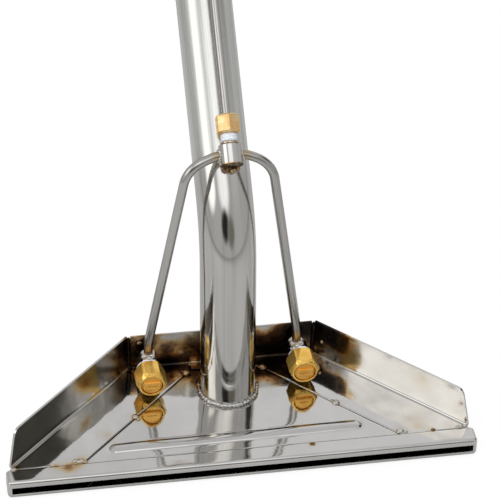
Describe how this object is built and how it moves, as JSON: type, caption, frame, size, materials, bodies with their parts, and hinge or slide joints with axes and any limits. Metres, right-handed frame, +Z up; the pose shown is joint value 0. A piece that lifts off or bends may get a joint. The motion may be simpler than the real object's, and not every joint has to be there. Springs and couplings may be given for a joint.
{
  "type": "surface cleaner floor head",
  "caption": "Welded stainless extraction floor head with a slotted suction lip, splash walls, a bent suction tube and twin screw-capped spray jets fed by a manifold.",
  "frame": {"origin": "on the flat underside, straight below the foot of the suction tube", "axes": "+X along the suction lip to the head's right seen from the front, +Y to the back, +Z up from the floor"},
  "size_m": [0.3184, 0.2736, 0.3043],
  "materials": {
    "polished_steel": "mirror polished stainless sheet",
    "brushed_steel": "lightly brushed stainless tube",
    "brass": "machined bright brass",
    "thread_tape": "wound white PTFE tape",
    "rubber": "matte black",
    "weld_metal": "rippled weld bead with heat tint"
  },
  "bodies": {
    "head": {"adapter_tape": "thread_tape", "bottom_pan": "polished_steel", "centre_panel": "polished_steel", "coupling_sleeve": "polished_steel", "inlet_adapter": "brass", "left_chamber_post": "polished_steel", "left_jet_body": "polished_steel", "left_jet_tape": "thread_tape", "left_jet_tube": "brushed_steel", "left_wing": "polished_steel", "line_clip": "polished_steel", "manifold_block": "polished_steel", "manifold_weld": "weld_metal", "rear_wall": "polished_steel", "right_chamber_post": "polished_steel", "right_jet_body": "polished_steel", "right_jet_tape": "thread_tape", "right_jet_tube": "brushed_steel", "right_wing": "polished_steel", "solution_plug": "brass", "solution_tube": "brushed_steel", "suction_lip": "polished_steel", "suction_tube": "brushed_steel", "tube_weld": "weld_metal"},
    "left_tip": {"left_spray_tip": "brass", "left_gasket": "rubber", "left_strainer": "brass"},
    "left_cap": {"left_jet_cap": "brass"},
    "right_tip": {"right_spray_tip": "brass", "right_gasket": "rubber", "right_strainer": "brass"},
    "right_cap": {"right_jet_cap": "brass"},
    "coupling_seal_ring": {"coupling_seal": "rubber"},
    "coupling_nut_body": {"coupling_nut": "brass"}
  },
  "joints": [
    {"name": "left_tip_slide", "type": "slide", "parent": "head", "child": "left_tip", "axis": [0, -1, 0], "range_m": [0, 0.00794]},
    {"name": "left_cap_turn", "type": "hinge", "parent": "left_tip", "child": "left_cap", "pos_m": [-0.0537, 0, 0.027], "axis": [0, -1, 0], "range_deg": [0, 1801]},
    {"name": "right_tip_slide", "type": "slide", "parent": "head", "child": "right_tip", "axis": [0, -1, 0], "range_m": [0, 0.00794]},
    {"name": "right_cap_turn", "type": "hinge", "parent": "right_tip", "child": "right_cap", "pos_m": [0.0525, 0, 0.027], "axis": [0, -1, 0], "range_deg": [0, 1801]},
    {"name": "coupling_seal_slide", "type": "slide", "parent": "head", "child": "coupling_seal_ring", "axis": [0, 0.7314, 0.682], "range_m": [0, 0.008]},
    {"name": "coupling_nut_turn", "type": "hinge", "parent": "coupling_seal_ring", "child": "coupling_nut_body", "pos_m": [0, 0.17595, 0.28267], "axis": [0, 0.7314, 0.682], "range_deg": [0, 1441]}
  ],
  "couplings": [
    {"joint": "left_cap_turn", "follows": "left_tip_slide", "rad_per_m": 3957.9},
    {"joint": "right_cap_turn", "follows": "right_tip_slide", "rad_per_m": 3957.9},
    {"joint": "coupling_nut_turn", "follows": "coupling_seal_slide", "rad_per_m": 3141.6}
  ]
}
